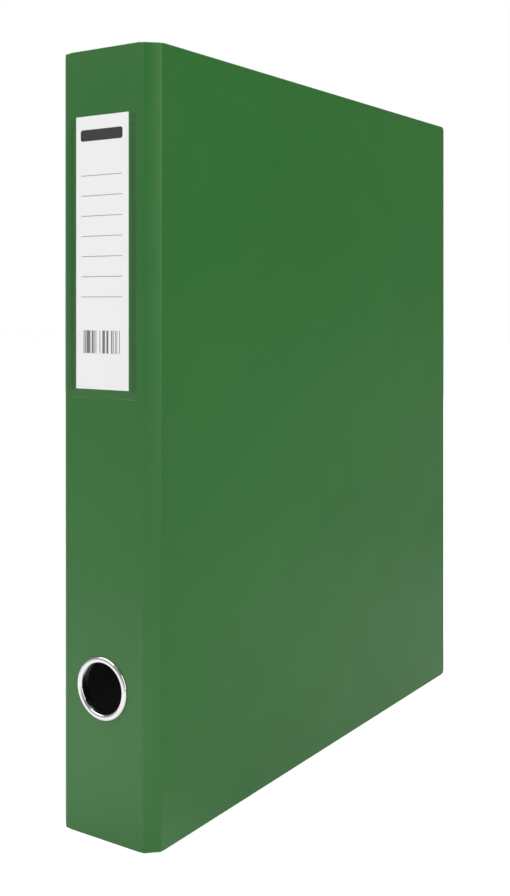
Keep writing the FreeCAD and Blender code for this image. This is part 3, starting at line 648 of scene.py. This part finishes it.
# ---------------------------------------------------------------- pieces
NODE_FINISHES = {
    "foil": ("back_wrap", "spine_wrap", "front_wrap", "rear_hinge_film", "front_hinge_film"),
    "board": ("back_board", "spine_board", "front_board"),
    "lining": ("back_lining", "spine_lining", "front_lining", "rear_hinge_lining",
               "front_hinge_lining"),
    "steel": ("base_plate", "mechanism_rivets", "post_upper", "post_lower", "lever_bracket",
              "bracket_rivets", "lever_axle", "arch_wire", "lever", "roller_pin", "compressor_bar"),
    "spring": ("arch_springs",),
    "chrome": ("finger_ring",),
    "washer": ("finger_ring_washer",),
    "film": ("spine_pocket",),
    "card": ("spine_label",),
    "nylon": ("lever_roller",),
}
RIB_PAINTED_SHADE = 0.6                            # painted shade: how far the ribbed welds are darkened from the foil's green
RIB_SHARE = 0.36                            # a rib's share of the ribs' pitch
finishes = {}


class FILE_OT_finishes(bpy.types.Operator):
    """Makes the finishes and gives each CAD node its own"""
    bl_idname = "lever_file.finishes"
    bl_label = "Finishes"

    def execute(self, context):
        tint = colours()
        finishes.update(
            foil=green_foil(), board=greyboard(), lining=lining_paper(), card=label_card(),
            film=clear_film(), nylon=roller_nylon(),
            # the ribbed side welds: the foil's green darkened as painted shade of the ribs
            weld=weld_film("weld_finish", tuple(c * RIB_PAINTED_SHADE for c in tint.foil)),
            pressed=weld_film("pressed_weld_finish", tuple(tint.pressed)),
            steel=metal("nickel_steel_finish", tint.steel, 0.20, 0.33, (1, 1, 0.06), 0.000006),
            spring=metal("spring_steel_finish", tint.spring, 0.3, 0.42, (1, 1, 1), 0.00001),
            chrome=ring_chrome(),
            washer=metal("zinc_finish", tint.zinc, 0.3, 0.42, (1, 1, 1), 0.00001))
        for finish, nodes in NODE_FINISHES.items():
            for node in nodes:
                mesh = frame["nodes"][node].data
                mesh.materials.clear()
                mesh.materials.append(finishes[finish])
        return {"FINISHED"}


def bend(line, turn, arc, steps):
    """Hinges of (line, turn) that share one bend out over its arc, from line on."""
    return [(line + (i + 0.5) * arc / steps, turn / steps) for i in range(steps)]


def folded(name, first, face, run, thick, low, high, hinges, stops=(), shape=None):
    """Sheet along +X from first with its right face at Y = face, turned left at each hinge.

    It is also cut across at each stop, and shape(x, y) gives a vertex its depth before the folding.
    """
    piece = start(name, bpy.ops.mesh.primitive_cube_add, size=1, location=(0, 0, 0))
    bpy.ops.transform.resize(value=(run, thick, high - low), center_override=(0, 0, 0))
    bpy.ops.transform.translate(value=(first + run / 2, face + thick / 2, (high + low) / 2))
    lines = [line for line, turn in hinges]
    for line in sorted(lines + list(stops)):
        bpy.ops.mesh.select_all(action="SELECT")
        bpy.ops.mesh.bisect(plane_co=(line, 0, 0), plane_no=(1, 0, 0))
    mesh = bmesh.from_edit_mesh(piece.data)
    mesh.verts.ensure_lookup_table()
    if shape:
        for vert in mesh.verts:
            vert.co.y = shape(vert.co.x, vert.co.y)
    columns = {v.index: sum(v.co.x > line + 1e-7 for line in lines) for v in mesh.verts}
    bmesh.update_edit_mesh(piece.data)
    pivot, angle = Vector((lines[0], face, 0)), 0.0
    for i, (line, turn) in enumerate(hinges):
        if i:
            pivot = pivot + Vector((math.cos(angle), math.sin(angle), 0)) * (line - lines[i - 1])
        select_verts(piece, lambda v, i=i: columns[v.index] > i)
        rotate_selected(turn, pivot)
        angle += turn
    return piece


def set_at_fold(piece, fold, heading):
    """Puts a sheet modelled round the origin at its fold line, with +X turned to heading."""
    bpy.ops.object.mode_set(mode="OBJECT")
    piece.rotation_euler = (0, 0, math.atan2(heading[1], heading[0]))
    piece.location = (fold[0], fold[1], 0)


def crease(name, fold, heading, node, panel_first):
    """Foil bent 45 degrees to the left round one fold line, from one panel or strip to the next.

    It travels along heading with its outer face on the right. Over the panel it is a thin skin
    that tapers to nothing, and over the strip it has the foil's whole thickness.
    """
    size = sizes()
    before, after = size.fold_reach, STRIP_WIDTH / 2
    if not panel_first:
        before, after = after, before
    eighth = math.radians(45)
    tangent = size.fold_radius * math.tan(eighth / 2)
    arc = size.fold_radius * eighth
    flat = before - tangent + arc + after - tangent
    end = -before if panel_first else flat - before     # the thin end over the panel
    taper = 0.8 * MM
    thin, under = 0.006 * MM, 0.03 * MM                 # the skin's faces over the panel

    def skin(along, depth):
        on_panel = along < HAIR - tangent if panel_first else along > arc - tangent - HAIR
        if depth < size.foil / 2:
            return thin if abs(along - end) < HAIR else -size.fold_proud
        return under if on_panel else depth

    stop = end + taper if panel_first else end - taper
    piece = folded(name, -before, 0, flat, size.foil, size.strip_short, HEIGHT - size.strip_short,
                   bend(-tangent, eighth, arc, 8), (stop,), skin)
    set_at_fold(piece, fold, heading)
    finished(piece, None, finishes["foil"], 30)
    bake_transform(piece)
    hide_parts(node)


def lining_crease(name, fold, heading, node, panel_first):
    """Lining from a panel over its board's edge and down on to half of the strip beside it.

    Modelled with the panel on the left of the fold, and mirrored where the strip comes first.
    """
    size = sizes()
    paper, clear = size.paper, 0.03 * MM                # clear of the board's edge
    overlap, face = 2.2 * MM, LINING_TOP - size.foil + 0.005 * MM
    strip_face = size.foil + 0.26 * MM
    edge, groove = 0.08 * MM, 0.35 * MM                 # bend radii over the edge and in the groove
    drop = face - (strip_face * math.sqrt(2) + clear)   # from the panel's face to the strip's
    quarter, turn = math.radians(90), math.radians(135)
    reach = groove * math.tan(turn / 2)
    down = overlap + clear - edge                       # where the sheet turns down over the edge
    up = down + edge * quarter + drop - edge - reach    # and where it turns out again
    flat = up + groove * turn + STRIP_WIDTH / 2 - strip_face - clear * math.sqrt(2) - reach
    hinges = (bend(down - overlap, -quarter, edge * quarter, 3)
              + bend(up - overlap, turn, groove * turn, 10))
    middle_wall = (down + edge * quarter + up) / 2 - overlap
    piece = folded(name, -overlap, face, flat, paper, size.lining_margin,
                   HEIGHT - size.lining_margin, hinges, (middle_wall,))
    bpy.ops.mesh.select_all(action="SELECT")
    if not panel_first:
        bpy.ops.transform.resize(value=(-1, 1, 1), center_override=(0, 0, 0))
    bpy.ops.mesh.normals_make_consistent(inside=False)
    set_at_fold(piece, fold, heading)
    finished(piece, None, finishes["lining"], 30)
    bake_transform(piece)
    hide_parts(node)


class FILE_OT_creases(bpy.types.Operator):
    """Foil and lining over the four creases beside the spine"""
    bl_idname = "lever_file.creases"
    bl_label = "Creased foil and lining"

    def execute(self, context):
        rear, front = (-COVER_FACE, STRIP_END), (COVER_FACE, STRIP_END)
        left, right = (-SPINE_HALF, SPINE_FACE), (SPINE_HALF, SPINE_FACE)
        slant = math.sqrt(0.5)
        for name, strip, fold, foil_heading, lining_heading, bodies, panel_first in (
                ("rear_outer", "rear_hinge", rear, (0, -1), (0, -1),
                 ("back_cover", "rear_hinge"), True),
                ("rear_inner", "rear_hinge", left, (slant, -slant), (1, 0),
                 ("rear_hinge", "spine"), False),
                ("front_inner", "front_hinge", right, (1, 0), (1, 0),
                 ("spine", "front_hinge"), True),
                ("front_outer", "front_hinge", front, (slant, slant), (0, 1),
                 ("front_hinge", "front_cover"), False)):
            crease(name + "_crease", fold, foil_heading, strip + "_film", panel_first)
            lining_crease(name + "_lining", fold, lining_heading, strip + "_lining",
                          panel_first)
        return {"FINISHED"}


class FILE_OT_finger_ring(bpy.types.Operator):
    """Chrome finger ring with its domed flange"""
    bl_idname = "lever_file.finger_ring"
    bl_label = "Finger ring"

    def execute(self, context):
        centre = (ring_low + ring_high) / 2
        outer = (ring_high.x - ring_low.x) / 2
        bore = sizes().ring_bore
        dome = SPINE_FACE - ring_low.y
        depth = ring_high.y - SPINE_FACE
        profile = [(outer, 0)]
        steps = 14
        for i in range(1, steps):                       # domed flange, from its rim to the throat
            angle = math.pi * i / steps
            profile.append(((outer + bore) / 2 + (outer - bore) / 2 * math.cos(angle),
                            dome * math.sin(angle) ** 0.8))
        wall = 0.5 * MM
        throat = bore + wall
        lip = throat + 1.3 * MM
        profile += [(bore, 0), (bore, wall - depth), (bore + 0.15 * MM, 0.1 * MM - depth),
                    (throat, -depth), (lip, -depth), (lip, wall - depth), (throat, wall - depth),
                    (throat, 0), (outer, 0)]
        ring = lathe("chrome_finger_ring", profile, (centre.x, SPINE_FACE, centre.z),
                     (math.radians(90), 0, 0), 96)
        finished(ring, "spine", finishes["chrome"], 40)
        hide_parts("finger_ring")
        return {"FINISHED"}


class FILE_OT_pocket(bpy.types.Operator):
    """Clear film of the label pocket, raised over the label and open at the top"""
    bl_idname = "lever_file.pocket"
    bl_label = "Label pocket"

    def execute(self, context):
        film, off, raised = 0.15 * MM, 0.03 * MM, 0.23 * MM
        play, slope = 0.3 * MM, 0.35 * MM               # round the label, and of the film's step up
        sides = (label_low.x - play, label_high.x + play)
        foot = label_low.z - play
        piece = start("label_pocket", bpy.ops.mesh.primitive_plane_add, size=1, location=(0, 0, 0))
        span, middle = pocket_high - pocket_low, (pocket_high + pocket_low) / 2
        bpy.ops.transform.resize(value=(span.x, span.z, 1), center_override=(0, 0, 0))
        bpy.ops.transform.translate(value=(middle.x, middle.z, off))
        for normal, lines in ((Vector((1, 0, 0)), (sides[0] - slope, *sides, sides[1] + slope)),
                              (Vector((0, 1, 0)), (foot - slope, foot))):
            for line in lines:
                bpy.ops.mesh.select_all(action="SELECT")
                bpy.ops.mesh.bisect(plane_co=normal * line, plane_no=normal)
        select_verts(piece, lambda v: (sides[0] - HAIR < v.co.x < sides[1] + HAIR
                                       and v.co.y > foot - HAIR))
        bpy.ops.transform.translate(value=(0, 0, raised))
        bpy.ops.object.mode_set(mode="OBJECT")
        solid = piece.modifiers.new("film", "SOLIDIFY")
        solid.thickness = film
        solid.offset = 1
        activate(piece)
        bpy.ops.object.modifier_apply(modifier="film")
        piece.rotation_euler = (math.radians(90), 0, 0)
        piece.location = (0, SPINE_FACE, 0)
        finished(piece, "spine", finishes["film"], 30)
        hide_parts("spine_pocket")
        return {"FINISHED"}


def ribs(name, finish, left, right, bottom, tall, proud, count, rounding):
    """Row of ribs across one weld, as one piece that stands a little out of the film."""
    piece = start(name, bpy.ops.mesh.primitive_cube_add, size=1, location=(0, 0, 0))
    bpy.ops.transform.resize(value=(right - left, proud * 2, tall), center_override=(0, 0, 0))
    middle = Vector(((left + right) / 2, SPINE_FACE - 0.15 * MM, bottom + tall / 2))
    bpy.ops.transform.translate(value=middle)
    bpy.ops.mesh.select_all(action="SELECT")
    bpy.ops.mesh.bevel(offset=rounding, segments=2, affect="EDGES")
    bpy.ops.object.mode_set(mode="OBJECT")
    array = piece.modifiers.new("rows", "ARRAY")
    array.use_relative_offset = False
    array.use_constant_offset = True
    array.constant_offset_displace = (0, 0, sizes().rib_pitch)
    array.count = count
    activate(piece)
    bpy.ops.object.modifier_apply(modifier="rows")
    finished(piece, "spine", finishes[finish], 15)


class FILE_OT_pocket_welds(bpy.types.Operator):
    """Ribbed welds of the label pocket's sides and the plain ones below it"""
    bl_idname = "lever_file.pocket_welds"
    bl_label = "Pocket welds"

    def execute(self, context):
        size = sizes()
        left, right = pocket_low.x, pocket_high.x
        bottom = label_low.z - 0.3 * MM
        count = round((label_high.z - label_low.z) / size.rib_pitch)
        side = (bottom, size.rib_pitch * RIB_SHARE, size.rib_height, count, size.rib_height * 0.5)
        low = (pocket_low.z + 0.2 * MM, 0.4 * MM, 0.11 * MM, 1, 0.1 * MM)
        for name, finish, edge, first, last, row in (
                ("left_weld", "weld", left, 0.2, 2.3, side),
                ("right_weld", "weld", right, -2.4, -0.3, side),
                ("left_bottom_weld", "pressed", left, 0.1, 8.6, low),
                ("right_bottom_weld", "pressed", right, -8.1, -0.1, low)):
            ribs(name, finish, edge + first * MM, edge + last * MM, *row)
        return {"FINISHED"}


class FILE_PT_panel(bpy.types.Panel):
    """Pieces of the file, each with its button"""
    bl_idname = "FILE_PT_panel"
    bl_label = "Lever arch file"
    bl_space_type = "VIEW_3D"
    bl_region_type = "UI"
    bl_category = "Lever arch file"

    def draw(self, context):
        for operator in OPERATORS:
            self.layout.operator(operator.bl_idname)
        for group in (context.scene.file_sizes, context.scene.file_colours):
            box = self.layout.box()
            for name in group.__annotations__:
                box.prop(group, name)


OPERATORS = (FILE_OT_finishes, FILE_OT_creases, FILE_OT_finger_ring, FILE_OT_pocket,
             FILE_OT_pocket_welds, FILE_OT_stage)
CLASSES = (FileSizes, FileColours, *OPERATORS, FILE_PT_panel)


def register():
    for cls in CLASSES:
        bpy.utils.register_class(cls)
    bpy.types.Scene.file_sizes = bpy.props.PointerProperty(type=FileSizes)
    bpy.types.Scene.file_colours = bpy.props.PointerProperty(type=FileColours)


def unregister():
    del bpy.types.Scene.file_colours
    del bpy.types.Scene.file_sizes
    for cls in reversed(CLASSES):
        bpy.utils.unregister_class(cls)


def main():
    register()
    for operator in OPERATORS:
        group, name = operator.bl_idname.split(".")
        getattr(getattr(bpy.ops, group), name)()


if __name__ == "__main__":
    main()
